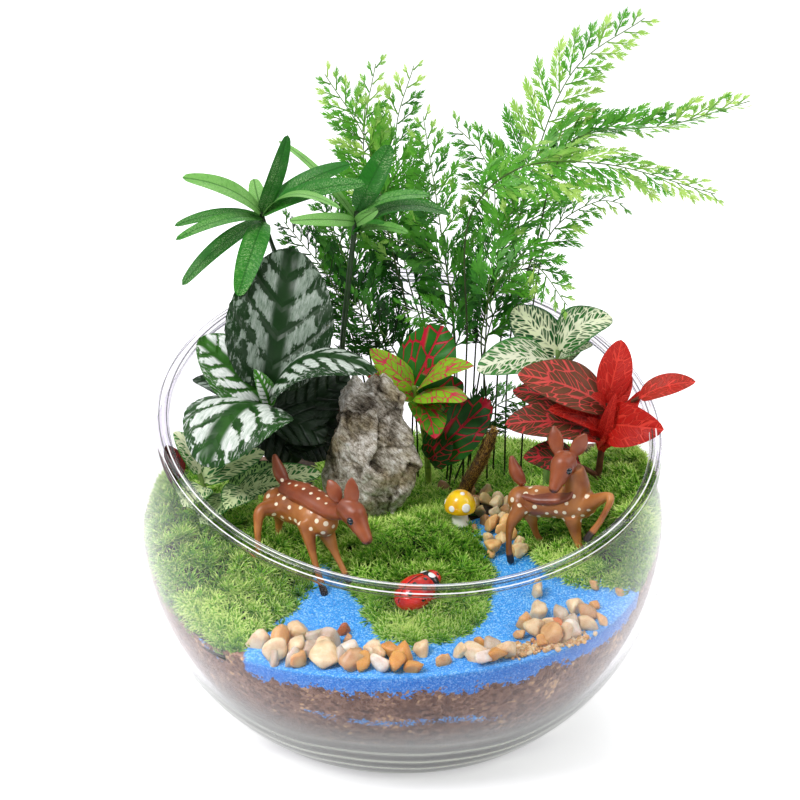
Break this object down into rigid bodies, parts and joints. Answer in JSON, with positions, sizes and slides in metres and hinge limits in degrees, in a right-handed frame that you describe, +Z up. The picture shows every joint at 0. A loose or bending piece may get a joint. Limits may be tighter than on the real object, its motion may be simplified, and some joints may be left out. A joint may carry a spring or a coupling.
{
  "type": "terrarium",
  "caption": "Planted terrarium in a round slant-mouthed glass bowl, with fern, leafy plants, moss, blue sand, pebbles, a rock and small ornaments.",
  "frame": {"origin": "middle of the flat underside of the bowl, where it rests", "axes": "+Z up, -Y towards the low side of the slanted mouth, +X to the right seen from there"},
  "size_m": [0.2081, 0.1801, 0.2306],
  "materials": {
    "glass": "clear blown glass, polished",
    "fern": "fresh green fern, slightly glossy",
    "aluminium_plant_leaf": "living leaf, satin",
    "pale_veined_leaf": "living leaf, satin",
    "wilted_leaf": "living leaf, satin",
    "red_veined_leaf": "living leaf, satin",
    "white_veined_leaf": "living leaf, satin",
    "red_leaf": "living leaf, satin",
    "podocarpus_leaf": "living leaf, satin",
    "fawn_body": "moulded orange-brown plastic with painted cream spots",
    "fawn_back": "moulded red-brown plastic",
    "rhizome": "golden-brown scaly hair",
    "mushroom_stem": "glossy white resin",
    "mushroom_cap": "glossy yellow resin with white dots",
    "ladybird": "glossy red shell with black spots and head",
    "rock": "rough grey-brown stone with clefts",
    "pebble_light": "tumbled cream, white and amber pebbles",
    "pebble_path": "tumbled tan and olive pebbles",
    "moss": "living cushion moss",
    "sand": "fine dyed blue sand",
    "soil": "dry grey-brown potting soil"
  },
  "bodies": {
    "root": {"bowl": "glass", "fern_frond_1": "fern", "fern_frond_2": "fern", "fern_frond_3": "fern", "fern_frond_4": "fern", "fern_frond_5": "fern", "fern_frond_6": "fern", "fern_frond_7": "fern", "fern_frond_8": "fern", "fern_frond_9": "fern", "fern_frond_10": "fern", "fern_frond_11": "fern", "fern_frond_12": "fern", "fern_frond_13": "fern", "fern_frond_14": "fern", "aluminium_plant": "aluminium_plant_leaf", "nerve_plant_left": "pale_veined_leaf", "wilted_leaf": "wilted_leaf", "nerve_plant_red_veined": "red_veined_leaf", "nerve_plant_white": "white_veined_leaf", "nerve_plant_red": "red_leaf", "podocarpus_left": "podocarpus_leaf", "podocarpus_right": "podocarpus_leaf", "fawn_left_body": "fawn_body", "fawn_left_back": "fawn_back", "fawn_right_body": "fawn_body", "fawn_right_back": "fawn_back", "rhizome": "rhizome", "mushroom_stem": "mushroom_stem", "mushroom_cap": "mushroom_cap", "ladybird": "ladybird", "rock": "rock", "pebbles_front_left": "pebble_light", "pebbles_front_right": "pebble_light", "pebbles_path": "pebble_path", "moss_left": "moss", "moss_centre": "moss", "moss_right": "moss", "sand_blue": "sand", "soil": "soil"}
  },
  "joints": []
}
